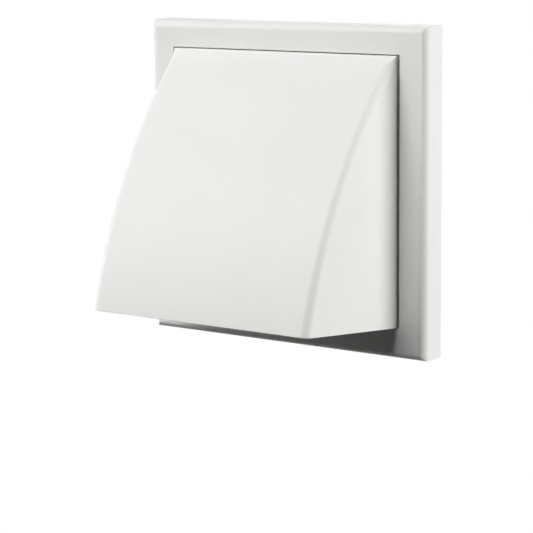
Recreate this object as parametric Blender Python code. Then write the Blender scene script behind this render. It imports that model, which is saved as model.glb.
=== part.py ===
"""Wall vent cowl in white plastic: a square wall frame with a duct spigot behind it, a curved hood that
snaps into the frame, and a backdraft flap that hangs over the duct.

Metres. The origin is on the duct's axis in the plane of the wall. +Z is up and the hood faces -Y.
"""
import math

import bmesh
import bpy
from mathutils import Matrix, Vector

# Duct spigot and the ring that the flap closes on
DUCT_BORE = 0.095
SPIGOT_WALL = 0.0018
SPIGOT_LENGTH = 0.030           # behind the wall plane
SPIGOT_LEAD_IN = 0.0009
SEAT_HEIGHT = 0.0025            # of the ring above the recess floor
SEAT_WIDTH = 0.0022
SEAT_GAP = 0.0003               # left between pieces that touch

# Backdraft flap
FLAP_OVERLAP = 0.0012           # leaf beyond the seat ring
FLAP_THICKNESS = 0.0014
FLAP_BEAD = 0.0008              # height of the bead round the leaf
FLAP_BEAD_WIDTH = 0.0016
FLAP_BEAD_INSET = 0.0005        # of the bead from the leaf's edge
FLAP_RIB_HEIGHT = 0.0018
FLAP_RIB_WIDTH = 0.0012
FLAP_RIB_SPACING = 0.036        # between the two upright ribs
CROSS_RIB_HEIGHT = 0.0009
HINGE_RISE = 0.0048             # hinge axis above the seat ring
BARREL_RADIUS = 0.0021
BARREL_LENGTH = 0.058
BARREL_CLEARANCE = 0.0004       # between the barrel and the recess floor
NECK_SETBACK = 0.001            # leaf's neck short of each end of the barrel
PIN_RADIUS = 0.0014
PIN_CLEARANCE = 0.0003          # round the pin and beside the ears
EAR_THICKNESS = 0.0022
EAR_NOSE = 0.0030               # radius of the ear round the pin hole

# Hood
HOOD_WALL = 0.002
HOOD_SIDE_ROOM = 0.00935        # between the flap and each side
HOOD_HEAD_ROOM = 0.0039         # between the hinge ears and the top
HOOD_REACH = 0.0877             # wall to the front of the lip
HOOD_LIP_RISE = 0.0083          # lip above the sides' lower edge at the frame
HOOD_FRONT_RADIUS = 0.240       # of the curved front, seen from the side
HOOD_TOP_PROUD = 0.0007         # top edge in front of the frame's face
HOOD_DRAFT = 0.043              # each side leans in this much per unit of reach
HOOD_CREST_ROUND = 0.0038       # between the front and the sides
HOOD_INNER_ROUND = 0.0005       # least radius inside that edge
HOOD_SIDE_GAP = 0.0011          # seam at each side
HOOD_TOP_GAP = 0.0005           # seam at the top
HOOD_HEEL_GAP = 0.0004          # sides' lower edge above the opening's lower edge

# Spring hooks on the hood's skirt
HOOK_WIDTH = 0.010
HOOK_SLOT = 0.0012              # slot beside each spring arm
HOOK_SLOT_LENGTH = 0.0085
HOOK_DEPTH = 0.0030             # of the barb, front to back
HOOK_LAND = 0.0010              # flat top of the barb, front to back
HOOK_REACH = 0.0021             # of the barb beyond the skirt
HOOK_SETBACK = 0.0012           # barb's back edge in front of the skirt's back edge
HOOK_HEIGHTS = (-0.030, 0.036)  # of the two hooks on each side

# Wall frame
FRAME_DEPTH = 0.0152            # wall to front face
FRAME_DRAFT = 0.0095            # each side leans in this much per unit of depth
FRAME_EDGE_ROUND = 0.0042       # radius along the front's outer edges
FRAME_WALL = 0.002
BORDER_SIDE = 0.01365           # border's width beside the opening
BORDER_TOP = 0.0131
BORDER_BOTTOM = 0.0144
FOOT_ROOM = 0.0117              # opening's lower edge below the flap
FLOOR_THICKNESS = 0.0025        # floor of the recess, in the plane of the wall
RIB_WIDTH = 0.0015              # ribs across the hollow border
RIB_SETBACK = 0.001             # ribs end this short of the wall
RIBS_PER_SIDE = 3

# Screw holes in the recess floor
SCREW_INSET = 0.00625           # hole's centre in from the hood's side
SCREW_HOLE = 0.0045
SCREW_BOSS = 0.0100
SCREW_BOSS_HEIGHT = 0.0012
SCREW_SINK = 0.0082             # outer diameter of the countersink

# Facets
ROUND_STEPS = 6                 # along a quarter of an edge round
CURVE_STEPS = 30                # along the hood's front
RING_STEPS = 72                 # round the spigot, ring and leaf
HOLE_STEPS = 20                 # round a pin or a screw hole
OVERSHOOT = 0.001               # by which a cutter passes the face that it opens

# Places that follow from the sizes above, outwards from the duct
SPIGOT_RADIUS = DUCT_BORE / 2 + SPIGOT_WALL
SEAT_RADIUS = DUCT_BORE / 2 + SEAT_WIDTH
SEAT_FACE = -(FLOOR_THICKNESS + SEAT_HEIGHT)
LEAF_BACK = SEAT_FACE - SEAT_GAP
LEAF_FRONT = LEAF_BACK - FLAP_THICKNESS
LEAF_RADIUS = SEAT_RADIUS + FLAP_OVERLAP
HINGE_Y = -(FLOOR_THICKNESS + BARREL_RADIUS + BARREL_CLEARANCE)
HINGE_HEIGHT = SEAT_RADIUS + HINGE_RISE
EAR_INNER = BARREL_LENGTH / 2 + PIN_CLEARANCE
HOOD_HALF_WIDTH = LEAF_RADIUS + HOOD_SIDE_ROOM + HOOD_WALL
HOOD_TOP = HINGE_HEIGHT + EAR_NOSE + HOOD_HEAD_ROOM + HOOD_WALL
HOOD_BACK = -(FLOOR_THICKNESS + SEAT_GAP)
OPENING_HALF_WIDTH = HOOD_HALF_WIDTH + HOOD_SIDE_GAP
OPENING_TOP = HOOD_TOP + HOOD_TOP_GAP
OPENING_BOTTOM = LEAF_RADIUS + FOOT_ROOM
HOOD_HEEL_DROP = OPENING_BOTTOM - HOOD_HEEL_GAP
HOOD_LIP_DROP = HOOD_HEEL_DROP - HOOD_LIP_RISE
FRAME_HALF_WIDTH = OPENING_HALF_WIDTH + BORDER_SIDE
FRAME_TOP = OPENING_TOP + BORDER_TOP
FRAME_BOTTOM = OPENING_BOTTOM + BORDER_BOTTOM
SCREW_REACH = HOOD_HALF_WIDTH - HOOD_WALL - SCREW_INSET


def clear_objects():
    """Start from an empty scene."""
    for item in list(bpy.data.objects):
        bpy.data.objects.remove(item)


def plastic(name, colour, roughness):
    """A moulded plastic of one colour."""
    material = bpy.data.materials.new(name)
    material.use_nodes = True
    shader = material.node_tree.nodes["Principled BSDF"]
    shader.inputs["Base Color"].default_value = (*colour, 1.0)
    shader.inputs["Roughness"].default_value = roughness
    shader.inputs["Metallic"].default_value = 0.0
    material.diffuse_color = (*colour, 1.0)
    return material


def add_object(name, bm, material=None, sharp_angle=30.0):
    """Turn a bmesh into an object, shaded smooth up to the given angle."""
    mesh = bpy.data.meshes.new(name)
    bmesh.ops.recalc_face_normals(bm, faces=bm.faces)
    bm.to_mesh(mesh)
    bm.free()
    mesh.shade_smooth()
    mesh.set_sharp_from_angle(angle=math.radians(sharp_angle))
    item = bpy.data.objects.new(name, mesh)
    bpy.context.scene.collection.objects.link(item)
    if material:
        mesh.materials.append(material)
    return item


def add_tool(name, bm):
    """A shape that is only used to cut or join, kept out of the model."""
    item = add_object(name, bm)
    item.hide_render = True
    item.display_type = "WIRE"
    return item


def combine(item, tool, operation):
    """Cut the tool from the item, or join it on."""
    modifier = item.modifiers.new(tool.name, "BOOLEAN")
    modifier.operation = operation
    modifier.solver = "EXACT"
    modifier.object = tool
    tool.parent = item


def add_box(bm, low, high):
    """A box between two corners."""
    size = Vector(high) - Vector(low)
    middle = (Vector(high) + Vector(low)) / 2
    matrix = Matrix.Translation(middle) @ Matrix.Diagonal((*size, 1.0))
    bmesh.ops.create_cube(bm, size=1.0, matrix=matrix)


def place(pair, along, axis):
    """A point along an axis; the pair holds its other two coordinates in the order x, y, z."""
    point = list(pair)
    point.insert("XYZ".index(axis), along)
    return Vector(point)


def add_prism(bm, outline, axis, start, end):
    """Extrude an outline along an axis."""
    near = [bm.verts.new(place(pair, start, axis)) for pair in outline]
    far = [bm.verts.new(place(pair, end, axis)) for pair in outline]
    bm.faces.new(near)
    bm.faces.new(far)
    count = len(outline)
    for i in range(count):
        j = (i + 1) % count
        bm.faces.new((near[i], near[j], far[j], far[i]))


def add_turned(bm, profile, steps):
    """Turn a closed profile of (radius, y) pairs about the duct's axis."""
    rings = []
    for i in range(steps):
        angle = 2 * math.pi * i / steps
        across, up = math.cos(angle), math.sin(angle)
        rings.append([bm.verts.new((radius * across, y, radius * up)) for radius, y in profile])
    count = len(profile)
    for i in range(steps):
        here = rings[i]
        after = rings[(i + 1) % steps]
        for j in range(count):
            k = (j + 1) % count
            bm.faces.new((here[j], here[k], after[k], after[j]))


def add_disc(bm, radii, levels, centre, steps, axis="Y"):
    """A round solid along an axis with a radius at each level, closed by a flat face at both ends."""
    rings = []
    for radius, level in zip(radii, levels):
        outline = circle_points(centre, radius, 0, 360, steps)[:-1]
        rings.append([bm.verts.new(place(pair, level, axis)) for pair in outline])
    for low, high in zip(rings, rings[1:]):
        for i in range(steps):
            j = (i + 1) % steps
            bm.faces.new((low[i], low[j], high[j], high[i]))
    bm.faces.new(rings[0])
    bm.faces.new(rings[-1])


def circle_points(centre, radius, start, end, steps):
    """Points on an arc from one angle to another, in degrees, both ends included."""
    points = []
    for i in range(steps + 1):
        angle = math.radians(start + (end - start) * i / steps)
        points.append((centre[0] + radius * math.cos(angle), centre[1] + radius * math.sin(angle)))
    return points


def frame_body():
    """The frame's drafted block, with its front edges rounded and the rounds mitred at the corners."""
    bm = bmesh.new()
    add_box(bm, (-FRAME_HALF_WIDTH, -FRAME_DEPTH, -FRAME_BOTTOM), (FRAME_HALF_WIDTH, 0.0, FRAME_TOP))
    front_corners = [vert for vert in bm.verts if vert.co.y < -FRAME_DEPTH / 2]
    lean = FRAME_DRAFT * FRAME_DEPTH
    for vert in front_corners:
        vert.co.x -= math.copysign(lean, vert.co.x)
        vert.co.z -= math.copysign(lean, vert.co.z)
    front = [edge for edge in bm.edges if all(vert in front_corners for vert in edge.verts)]
    bmesh.ops.bevel(bm, geom=front, offset=FRAME_EDGE_ROUND, segments=ROUND_STEPS, profile=0.5,
                    affect="EDGES", clamp_overlap=True)
    return bm


def recess_cutter():
    """The opening that the hood sits in, down to the floor."""
    bm = bmesh.new()
    low = (-OPENING_HALF_WIDTH, -FRAME_DEPTH - OVERSHOOT, -OPENING_BOTTOM)
    add_box(bm, low, (OPENING_HALF_WIDTH, -FLOOR_THICKNESS, OPENING_TOP))
    return bm


def border_limits():
    """Inner and outer limits of the hollow in the border: half widths, then bottoms, then tops."""
    inner_x = OPENING_HALF_WIDTH + FRAME_WALL
    outer_x = FRAME_HALF_WIDTH - FRAME_WALL
    inner_low = -(OPENING_BOTTOM + FRAME_WALL)
    outer_low = -(FRAME_BOTTOM - FRAME_WALL)
    inner_high = OPENING_TOP + FRAME_WALL
    outer_high = FRAME_TOP - FRAME_WALL
    return inner_x, outer_x, inner_low, outer_low, inner_high, outer_high


def split_span(low, high):
    """Divide a span into cells with a rib between each pair."""
    pitch = (high - low + RIB_WIDTH) / (RIBS_PER_SIDE + 1)
    return [(low + i * pitch, low + (i + 1) * pitch - RIB_WIDTH) for i in range(RIBS_PER_SIDE + 1)]


def border_cells():
    """The cells of the hollow border, open towards the wall."""
    inner_x, outer_x, inner_low, outer_low, inner_high, outer_high = border_limits()
    bm = bmesh.new()
    front = -FRAME_DEPTH + FRAME_WALL
    for low, high in split_span(-outer_x, outer_x):
        add_box(bm, (low, front, inner_high), (high, OVERSHOOT, outer_high))
        add_box(bm, (low, front, outer_low), (high, OVERSHOOT, inner_low))
    for low, high in split_span(inner_low + RIB_WIDTH, inner_high - RIB_WIDTH):
        add_box(bm, (-outer_x, front, low), (-inner_x, OVERSHOOT, high))
        add_box(bm, (inner_x, front, low), (outer_x, OVERSHOOT, high))
    return bm


def rib_setback_cutter():
    """A shallow square ring that ends the ribs short of the wall."""
    inner_x, outer_x, inner_low, outer_low, inner_high, outer_high = border_limits()
    outer = [(-outer_x, outer_low), (outer_x, outer_low), (outer_x, outer_high), (-outer_x, outer_high)]
    inner = [(-inner_x, inner_low), (inner_x, inner_low), (inner_x, inner_high), (-inner_x, inner_high)]
    bm = bmesh.new()
    loops = []
    for outline in (outer, inner):
        for y in (-RIB_SETBACK, OVERSHOOT):
            loops.append([bm.verts.new((x, y, z)) for x, z in outline])
    outer_front, outer_back, inner_front, inner_back = loops
    for first, second in ((outer_front, outer_back), (inner_front, inner_back),
                          (outer_front, inner_front), (outer_back, inner_back)):
        for i in range(4):
            j = (i + 1) % 4
            bm.faces.new((first[i], first[j], second[j], second[i]))
    return bm


def duct_cutter():
    """The hole in the floor, which ends inside the wall of the spigot."""
    radius = DUCT_BORE / 2 + SPIGOT_WALL / 2
    bm = bmesh.new()
    levels = (-FLOOR_THICKNESS - OVERSHOOT, OVERSHOOT)
    add_disc(bm, (radius, radius), levels, (0.0, 0.0), RING_STEPS)
    return bm


def spigot():
    """The spigot and the seat ring, turned in one profile with a lead-in at the spigot's end."""
    bore = DUCT_BORE / 2
    middle = -FLOOR_THICKNESS / 2
    profile = [(bore, SEAT_FACE),
               (SEAT_RADIUS, SEAT_FACE),
               (SEAT_RADIUS, middle),
               (SPIGOT_RADIUS, middle),
               (SPIGOT_RADIUS, SPIGOT_LENGTH - SPIGOT_LEAD_IN),
               (SPIGOT_RADIUS - SPIGOT_LEAD_IN, SPIGOT_LENGTH),
               (bore, SPIGOT_LENGTH)]
    bm = bmesh.new()
    add_turned(bm, profile, RING_STEPS)
    return bm


def screw_places():
    """Centres (x, z) of the four screw holes."""
    return [(x, z) for x in (-SCREW_REACH, SCREW_REACH) for z in (-SCREW_REACH, SCREW_REACH)]


def screw_bosses():
    """A raised boss round each screw hole."""
    bm = bmesh.new()
    radius = SCREW_BOSS / 2
    levels = (-FLOOR_THICKNESS / 2, -FLOOR_THICKNESS - SCREW_BOSS_HEIGHT)
    for place in screw_places():
        add_disc(bm, (radius, radius), levels, place, HOLE_STEPS)
    return bm


def screw_hole_cutter():
    """Countersunk holes through the bosses and the floor."""
    bm = bmesh.new()
    hole = SCREW_HOLE / 2
    sink = SCREW_SINK / 2
    face = -FLOOR_THICKNESS - SCREW_BOSS_HEIGHT
    radii = (hole, hole, sink, sink)
    levels = (OVERSHOOT, face + (sink - hole), face, face - OVERSHOOT)
    for place in screw_places():
        add_disc(bm, radii, levels, place, HOLE_STEPS)
    return bm


def hinge_ears():
    """Two ears on the floor that carry the flap's stub pins, each with a round nose."""
    bm = bmesh.new()
    nose = circle_points((HINGE_Y, HINGE_HEIGHT), EAR_NOSE, 90, 270, ROUND_STEPS * 2)
    root = -FLOOR_THICKNESS / 2
    outline = nose + [(root, HINGE_HEIGHT - EAR_NOSE), (root, HINGE_HEIGHT + EAR_NOSE)]
    for side in (-1, 1):
        add_prism(bm, outline, "X", side * EAR_INNER, side * (EAR_INNER + EAR_THICKNESS))
    return bm


def pin_hole_cutter():
    """Holes for the stub pins, through both ears."""
    bm = bmesh.new()
    outline = circle_points((HINGE_Y, HINGE_HEIGHT), PIN_RADIUS + PIN_CLEARANCE, 0, 360, HOLE_STEPS)[:-1]
    for side in (-1, 1):
        add_prism(bm, outline, "X", side * (EAR_INNER - OVERSHOOT),
                  side * (EAR_INNER + EAR_THICKNESS + OVERSHOOT))
    return bm


def barb_span():
    """Back and front of the hooks' barbs."""
    back = HOOD_BACK - HOOK_SETBACK
    return back, back - HOOK_DEPTH


def hook_window_cutter():
    """Windows in the recess's side walls, one for each barb."""
    back, front = barb_span()
    bm = bmesh.new()
    inner = OPENING_HALF_WIDTH - OVERSHOOT
    outer = OPENING_HALF_WIDTH + FRAME_WALL + OVERSHOOT
    for height in HOOK_HEIGHTS:
        low = height - HOOK_WIDTH / 2 - SEAT_GAP
        high = height + HOOK_WIDTH / 2 + SEAT_GAP
        add_box(bm, (inner, front - SEAT_GAP, low), (outer, back + SEAT_GAP, high))
        add_box(bm, (-outer, front - SEAT_GAP, low), (-inner, back + SEAT_GAP, high))
    return bm


def build_frame(material):
    """The wall frame, one moulding."""
    frame = add_object("wall_frame", frame_body(), material)
    combine(frame, add_tool("cut_recess", recess_cutter()), "DIFFERENCE")
    combine(frame, add_tool("join_bosses", screw_bosses()), "UNION")
    combine(frame, add_tool("join_ears", hinge_ears()), "UNION")
    combine(frame, add_tool("cut_border_cells", border_cells()), "DIFFERENCE")
    combine(frame, add_tool("cut_rib_setback", rib_setback_cutter()), "DIFFERENCE")
    combine(frame, add_tool("cut_screw_holes", screw_hole_cutter()), "DIFFERENCE")
    combine(frame, add_tool("cut_pin_holes", pin_hole_cutter()), "DIFFERENCE")
    combine(frame, add_tool("cut_hook_windows", hook_window_cutter()), "DIFFERENCE")
    combine(frame, add_tool("cut_duct", duct_cutter()), "DIFFERENCE")
    combine(frame, add_tool("join_spigot", spigot()), "UNION")
    return frame


def front_arc_centre():
    """Centre (y, z) of the arc through the hood's top edge and its lip."""
    top = Vector((-FRAME_DEPTH - HOOD_TOP_PROUD, HOOD_TOP))
    lip = Vector((-HOOD_REACH, -HOOD_LIP_DROP))
    chord = lip - top
    height = math.sqrt(HOOD_FRONT_RADIUS ** 2 - (chord.length / 2) ** 2)
    inward = Vector((-chord.y, chord.x)).normalized()
    centre = (top + lip) / 2 + inward * height
    return centre.x, centre.y


def lower_edge_slope():
    """Rise of the sides' lower edge for each unit of reach, from the frame out to the lip."""
    return (HOOD_HEEL_DROP - HOOD_LIP_DROP) / (HOOD_REACH - FRAME_DEPTH)


def arc_angle_at_height(radius, height):
    """Angle on the front arc, or one inside it, at a height."""
    centre_z = front_arc_centre()[1]
    return math.pi - math.asin((height - centre_z) / radius)


def arc_angle_at_lower_edge(radius, drop):
    """Angle on the front arc, or one inside it, where it meets the sides' lower edge lowered by drop."""
    centre_y, centre_z = front_arc_centre()
    slope = lower_edge_slope()
    level_at_wall = -HOOD_HEEL_DROP - slope * FRAME_DEPTH - drop
    distance = (level_at_wall - slope * centre_y - centre_z) / math.hypot(1.0, slope)
    return math.pi - math.asin(distance / radius) - math.atan(slope)


def side_half_width(y):
    """Half the hood's width, straight in the recess and drafted in front of the frame."""
    return HOOD_HALF_WIDTH - HOOD_DRAFT * max(0.0, -FRAME_DEPTH - y)


def front_point(radius, top, drop, step):
    """Point (y, z) at a step down an arc about the front's centre, from a top to the lower edge."""
    centre_y, centre_z = front_arc_centre()
    start = arc_angle_at_height(radius, top)
    end = arc_angle_at_lower_edge(radius, drop)
    angle = start + (end - start) * step / CURVE_STEPS
    return centre_y + radius * math.cos(angle), centre_z + radius * math.sin(angle)


def crest_radius(step):
    """Radius of the round between front and side, which runs out where the front meets the frame."""
    y = front_point(HOOD_FRONT_RADIUS, HOOD_TOP, 0.0, step)[0]
    steepness = (front_arc_centre()[0] - y) / HOOD_FRONT_RADIUS
    return min(HOOD_CREST_ROUND, (-FRAME_DEPTH - y) * steepness)


def hood_column(turn, inset, drop):
    """Points from top to bottom along one line of the crest; turn is 0 at the front, 90 at the side."""
    points = []
    for step in range(CURVE_STEPS + 1):
        crest = max(crest_radius(step) - inset, HOOD_INNER_ROUND)
        radius = HOOD_FRONT_RADIUS - inset - crest * (1 - math.cos(turn))
        y, z = front_point(radius, HOOD_TOP - inset, drop, step)
        x = side_half_width(y) - inset - crest * (1 - math.sin(turn))
        points.append((x, y, z))
    return points


def hood_block(inset, drop, back):
    """A solid with the hood's outer form, shrunk by inset, lowered by drop and reaching back to back."""
    turns = [math.pi / 2 * i / ROUND_STEPS for i in range(ROUND_STEPS + 1)]
    columns = [hood_column(turn, inset, drop) for turn in turns]
    heights = [HOOD_TOP - inset + (-HOOD_HEEL_DROP - drop - HOOD_TOP + inset) * step / CURVE_STEPS
               for step in range(CURVE_STEPS + 1)]
    half = HOOD_HALF_WIDTH - inset
    mouth = [max(-FRAME_DEPTH, point[1] + SEAT_GAP) for point in columns[-1]]
    columns.append([(half, y, z) for y, z in zip(mouth, heights)])
    columns.append([(half, back, z) for z in heights])

    bm = bmesh.new()
    right = [[bm.verts.new(point) for point in column] for column in columns]
    left = [[bm.verts.new((-x, y, z)) for x, y, z in column] for column in columns]
    strips = list(reversed(left)) + right
    for one, other in zip(strips, strips[1:]):
        for i in range(CURVE_STEPS):
            bm.faces.new((one[i], one[i + 1], other[i + 1], other[i]))
    bm.faces.new(left[-1] + list(reversed(right[-1])))
    bm.faces.new([strip[0] for strip in strips])
    bm.faces.new([strip[-1] for strip in strips[1:-1]])
    bm.faces.new((left[-2][-1], left[-1][-1], right[-1][-1], right[-2][-1]))
    return bm


def hook_slot_cutter():
    """The slots beside each spring arm, in from the skirt's back edge."""
    bm = bmesh.new()
    outer = HOOD_HALF_WIDTH + OVERSHOOT
    inner = HOOD_HALF_WIDTH - HOOD_WALL - OVERSHOOT
    for height in HOOK_HEIGHTS:
        for edge in (height - HOOK_WIDTH / 2 - HOOK_SLOT, height + HOOK_WIDTH / 2):
            low = (inner, HOOD_BACK - HOOK_SLOT_LENGTH, edge)
            high = (outer, HOOD_BACK + OVERSHOOT, edge + HOOK_SLOT)
            add_box(bm, low, high)
            add_box(bm, (-high[0], low[1], low[2]), (-low[0], high[1], high[2]))
    return bm


def hook_barbs():
    """The barbs on the spring arms, with a ramp towards the wall and a square face to the front."""
    bm = bmesh.new()
    back, front = barb_span()
    root = HOOD_HALF_WIDTH - HOOD_WALL / 2
    skin = HOOD_HALF_WIDTH
    tip = HOOD_HALF_WIDTH + HOOK_REACH
    ridge = front + HOOK_LAND
    for height in HOOK_HEIGHTS:
        for side in (-1, 1):
            outline = [(side * root, back), (side * skin, back), (side * tip, ridge), (side * tip, front),
                       (side * root, front)]
            add_prism(bm, outline, "Z", height - HOOK_WIDTH / 2, height + HOOK_WIDTH / 2)
    return bm


def build_hood(material):
    """The hood, one moulding."""
    hood = add_object("cowl_hood", hood_block(0.0, 0.0, HOOD_BACK), material)
    inside = hood_block(HOOD_WALL, OVERSHOOT, HOOD_BACK + OVERSHOOT)
    combine(hood, add_tool("cut_hood_inside", inside), "DIFFERENCE")
    combine(hood, add_tool("cut_hook_slots", hook_slot_cutter()), "DIFFERENCE")
    combine(hood, add_tool("join_hook_barbs", hook_barbs()), "UNION")
    return hood


def leaf():
    """The flap's round leaf, with a straight neck up to the hinge."""
    neck = BARREL_LENGTH / 2 - NECK_SETBACK
    angle = math.degrees(math.acos(neck / LEAF_RADIUS))
    outline = circle_points((0.0, 0.0), LEAF_RADIUS, angle, -180 - angle, RING_STEPS)
    outline += [(-neck, HINGE_HEIGHT), (neck, HINGE_HEIGHT)]
    bm = bmesh.new()
    add_prism(bm, outline, "Y", LEAF_FRONT, LEAF_BACK)
    return bm


def leaf_bead():
    """A low bead round the leaf that stiffens its edge."""
    outer = LEAF_RADIUS - FLAP_BEAD_INSET
    inner = outer - FLAP_BEAD_WIDTH
    root = LEAF_FRONT + FLAP_THICKNESS / 2
    top = LEAF_FRONT - FLAP_BEAD
    bm = bmesh.new()
    add_turned(bm, [(inner, root), (inner, top), (outer, top), (outer, root)], RING_STEPS)
    return bm


def upright_ribs():
    """Two ribs from the leaf's lower edge up into the barrel."""
    bm = bmesh.new()
    x = FLAP_RIB_SPACING / 2
    foot = -math.sqrt(LEAF_RADIUS ** 2 - x ** 2) + FLAP_BEAD_WIDTH
    half = FLAP_RIB_WIDTH / 2
    front = LEAF_FRONT - FLAP_RIB_HEIGHT
    back = LEAF_FRONT + FLAP_THICKNESS / 2
    for middle in (-x, x):
        add_box(bm, (middle - half, front, foot), (middle + half, back, HINGE_HEIGHT))
    return bm


def cross_rib():
    """One rib across the leaf at the duct's axis."""
    bm = bmesh.new()
    reach = LEAF_RADIUS - FLAP_BEAD_WIDTH
    half = FLAP_RIB_WIDTH / 2
    low = (-reach, LEAF_FRONT - CROSS_RIB_HEIGHT, -half)
    add_box(bm, low, (reach, LEAF_FRONT + FLAP_THICKNESS / 2, half))
    return bm


def barrel():
    """The barrel along the hinge axis, with a stub pin at each end that stays inside its ear."""
    end = BARREL_LENGTH / 2
    tip = end + PIN_CLEARANCE + EAR_THICKNESS
    radii = (PIN_RADIUS, PIN_RADIUS, BARREL_RADIUS, BARREL_RADIUS, PIN_RADIUS, PIN_RADIUS)
    levels = (-tip, -end, -end, end, end, tip)
    bm = bmesh.new()
    add_disc(bm, radii, levels, (HINGE_Y, HINGE_HEIGHT), HOLE_STEPS, axis="X")
    return bm


def build_flap(material):
    """The backdraft flap, one moulding, with its origin on the hinge axis."""
    hinge = Vector((0.0, HINGE_Y, HINGE_HEIGHT))

    def on_hinge(bm):
        bmesh.ops.translate(bm, verts=bm.verts, vec=-hinge)
        return bm

    flap = add_object("backdraft_flap", on_hinge(leaf()), material)
    combine(flap, add_tool("join_bead", on_hinge(leaf_bead())), "UNION")
    combine(flap, add_tool("join_cross_rib", on_hinge(cross_rib())), "UNION")
    combine(flap, add_tool("join_upright_ribs", on_hinge(upright_ribs())), "UNION")
    combine(flap, add_tool("join_barrel", on_hinge(barrel())), "UNION")
    flap.location = hinge
    return flap


def main():
    clear_objects()
    white = (0.83, 0.83, 0.82)
    build_frame(plastic("frame_white", white, 0.45))
    build_hood(plastic("hood_white", white, 0.45))
    build_flap(plastic("flap_white", white, 0.5))


main()
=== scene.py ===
"""Wall vent cowl in white moulded plastic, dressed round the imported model.

Metres, +Z up. The wall is the plane Y = 0 and the hood faces -Y.
"""
import math

import bmesh
import bpy
from bpy.props import FloatProperty, FloatVectorProperty, IntProperty, PointerProperty
from mathutils import Matrix, Vector


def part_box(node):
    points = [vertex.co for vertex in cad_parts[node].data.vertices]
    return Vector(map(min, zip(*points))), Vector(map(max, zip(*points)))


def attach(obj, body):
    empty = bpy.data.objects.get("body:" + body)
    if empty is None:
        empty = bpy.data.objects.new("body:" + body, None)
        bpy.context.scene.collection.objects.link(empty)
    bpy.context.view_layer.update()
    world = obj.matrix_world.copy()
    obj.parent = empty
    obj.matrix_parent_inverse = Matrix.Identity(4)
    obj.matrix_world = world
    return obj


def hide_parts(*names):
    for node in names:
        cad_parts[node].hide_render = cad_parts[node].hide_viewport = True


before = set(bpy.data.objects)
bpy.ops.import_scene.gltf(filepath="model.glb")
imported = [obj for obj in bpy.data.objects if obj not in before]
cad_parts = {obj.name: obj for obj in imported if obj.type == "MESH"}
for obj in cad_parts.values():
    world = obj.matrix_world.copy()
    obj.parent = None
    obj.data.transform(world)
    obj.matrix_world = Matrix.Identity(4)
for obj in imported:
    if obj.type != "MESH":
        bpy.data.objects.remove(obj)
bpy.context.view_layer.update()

bl_info = {
    "name": "Wall vent cowl",
    "version": (1, 0, 0),
    "blender": (4, 5, 0),
    "location": "3D View > Sidebar > Cowl",
    "description": "Builds a white wall vent cowl: wall frame, hood and backdraft flap",
    "category": "Add Mesh",
}

FRAME_LOW, FRAME_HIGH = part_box("wall_frame")
HOOD_LOW, HOOD_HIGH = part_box("cowl_hood")
FLAP_LOW, FLAP_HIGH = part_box("backdraft_flap")

PASS = 0.001        # by which a cutter passes the face that it opens
PHOTO_SIZE = 533.0  # pixels, both ways

# Facets round or along the curved forms.
RING_STEPS = 144    # round the spigot and the rings
LEAF_STEPS = 140    # round the flap's leaf
SCREW_STEPS = 40    # round a screw hole or its boss
BARREL_STEPS = 36
EJECTOR_STEPS = 32
PIN_STEPS = 28
NOSE_STEPS = 16     # round the nose of a hinge ear
EDGE_STEPS = 14     # along the round of the frame's front edge
CURVE_STEPS = 110   # down the hood's front
CREST_STEPS = 12    # between the hood's front and its sides

LEAST_CREST = 0.0005       # least radius between the hood's front and a side
MERGE_DISTANCE = 1e-6      # points this near are one
FLAT_ANGLE = math.radians(0.2)   # below this, faces are joined into one
BEVEL_ANGLE = math.radians(32)   # edges sharper than this are rounded
SHARP_ANGLE = math.radians(38)   # edges sharper than this stay sharp in shading
EJECTOR_PLACES = ((-0.041, -0.0565), (-0.041, 0.0565), (0.041, -0.0565), (0.041, 0.0565),
                  (-0.0575, -0.036), (-0.0575, 0.036), (0.0575, -0.036), (0.0575, 0.036))

# The plastic's noises: scale, detail and roughness of each.
CLOUD = (28.0, 3.0, 0.5)       # slow change of tone
FLECK = (1400.0, 2.0, 0.6)     # fine change of tone
GLOSS = (85.0, 4.0, 0.55)      # change of gloss
WAVE = (45.0, 1.0, 0.5)        # waviness of the mould's faces
GRAIN_DETAIL = (3.0, 0.6)
GLOSS_SPREAD = 0.035
WAVE_DEPTH = 0.00004
PLASTIC_IOR = 1.49

# Name, azimuth, elevation, distance, width and height of each lamp, and the setting that holds its power.
LAMPS = (("front_lamp", -22.0, 28.0, 1.6, 1.6, 0.5, "front_watts"),
         ("high_lamp", -8.0, 50.0, 1.6, 0.8, 0.5, "high_watts"),
         ("low_lamp", -72.0, 10.0, 1.6, 0.6, 0.38, "low_watts"),
         ("side_lamp", 114.0, 9.0, 1.6, 1.55, 1.35, "side_watts"),
         ("back_lamp", -160.0, -4.0, 1.6, 1.0, 1.0, "back_watts"),
         ("under_lamp", 180.0, -58.0, 1.3, 0.6, 0.6, "under_watts"))
LAMP_TARGET = (0.0, -0.03, 0.0)
FLOOR_HALF = 6.0                # half the floor's side
FLOOR_LIT = 0.05                # share of the floor's colour that lights the object
FLOOR_GLOW = 0.7                # glow of the floor near the object
FADE_START, FADE_END = 0.45, 0.95   # where the floor runs out into the background

CAMERA_ANGLES = (33.656, 8.080, -0.450)   # yaw, pitch and roll in degrees
CAMERA_FOCUS = 1913.9                     # pixels
CAMERA_ROW = 190.0                        # row of the optical centre, in pixels from the top
CAMERA_PLACE = (0.49194, -0.76822, 0.12550)


def length(name, description, default, low=0.0, high=1.0):
    """A size in metres that a user can change."""
    return FloatProperty(name=name, description=description, default=default, min=low, max=high,
                         precision=5, unit="LENGTH", subtype="DISTANCE")


def colour(name, description, default):
    """A colour that a user can change."""
    return FloatVectorProperty(name=name, description=description, default=default, size=3,
                               min=0.0, max=1.0, subtype="COLOR")


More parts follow.
